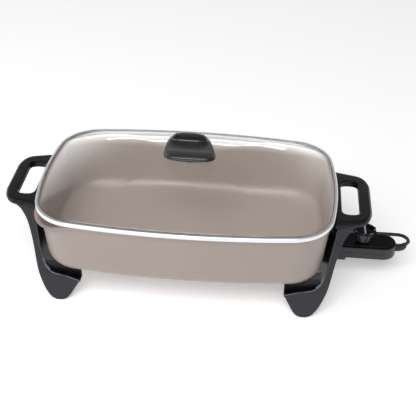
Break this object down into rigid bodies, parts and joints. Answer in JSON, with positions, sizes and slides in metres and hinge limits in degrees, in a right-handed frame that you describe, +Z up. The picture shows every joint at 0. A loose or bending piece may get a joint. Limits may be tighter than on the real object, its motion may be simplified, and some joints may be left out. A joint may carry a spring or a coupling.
{
  "type": "electric skillet",
  "caption": "Oblong electric skillet: deep pan with a pouring lip, domed glass lid, loop handles with fin-shaped legs, and a plug-in heat control with its cord.",
  "frame": {"origin": "on the table, under the middle of the skillet with its heat control plugged in, cord left out", "axes": "+X towards the heat control, +Z up, -Y towards the cook"},
  "size_m": [0.5641, 0.3485, 0.2074],
  "materials": {
    "ceramic_coated_aluminium": "warm taupe ceramic coat",
    "black_phenolic": "satin charcoal black",
    "black_gloss_plastic": "glossy black",
    "bright_steel": "polished",
    "dull_steel": "satin",
    "copper_alloy": "satin",
    "white_ceramic": "unglazed",
    "black_rubber": "matt",
    "clear_glass": "clear tempered"
  },
  "bodies": {
    "skillet": {"pan": "ceramic_coated_aluminium", "heating_element": "dull_steel", "terminal_guard": "black_phenolic", "terminal_pin_front": "bright_steel", "terminal_pin_back": "bright_steel", "guard_screw_front": "dull_steel", "guard_screw_back": "dull_steel", "left_bracket": "black_phenolic", "right_bracket": "black_phenolic", "left_bracket_screw_front": "dull_steel", "left_bracket_screw_back": "dull_steel", "right_bracket_screw_front": "dull_steel", "right_bracket_screw_back": "dull_steel"},
    "lid": {"lid_rim": "bright_steel", "lid_glass": "clear_glass", "lid_knob": "black_gloss_plastic", "knob_gasket": "black_rubber", "lid_washer": "bright_steel", "knob_screw": "bright_steel"},
    "control": {"control_top": "black_gloss_plastic", "control_bottom": "black_phenolic", "probe_tube": "bright_steel", "contact_sleeve_front": "copper_alloy", "contact_sleeve_back": "copper_alloy", "control_screw_front": "dull_steel", "control_screw_back": "dull_steel", "switch_base": "white_ceramic", "contact_blade": "copper_alloy", "bimetal_blade": "dull_steel", "strain_relief": "black_rubber", "cord_lead": "black_rubber", "cord_coil": "black_rubber", "plug_body": "black_rubber", "plug_blade_lower": "bright_steel", "plug_blade_upper": "bright_steel"},
    "dial": {"dial_knob": "black_gloss_plastic", "dial_shaft": "bright_steel"}
  },
  "joints": [
    {"name": "lid_lift", "type": "slide", "parent": "skillet", "child": "lid", "axis": [0, 0, 1], "range_m": [0, 0.15]},
    {"name": "control_pull", "type": "slide", "parent": "skillet", "child": "control", "axis": [1, 0, 0], "range_m": [0, 0.1]},
    {"name": "dial_turn", "type": "hinge", "parent": "control", "child": "dial", "pos_m": [0.22525, 0, 0.055], "axis": [0, 0, -1], "range_deg": [0, 280]}
  ]
}
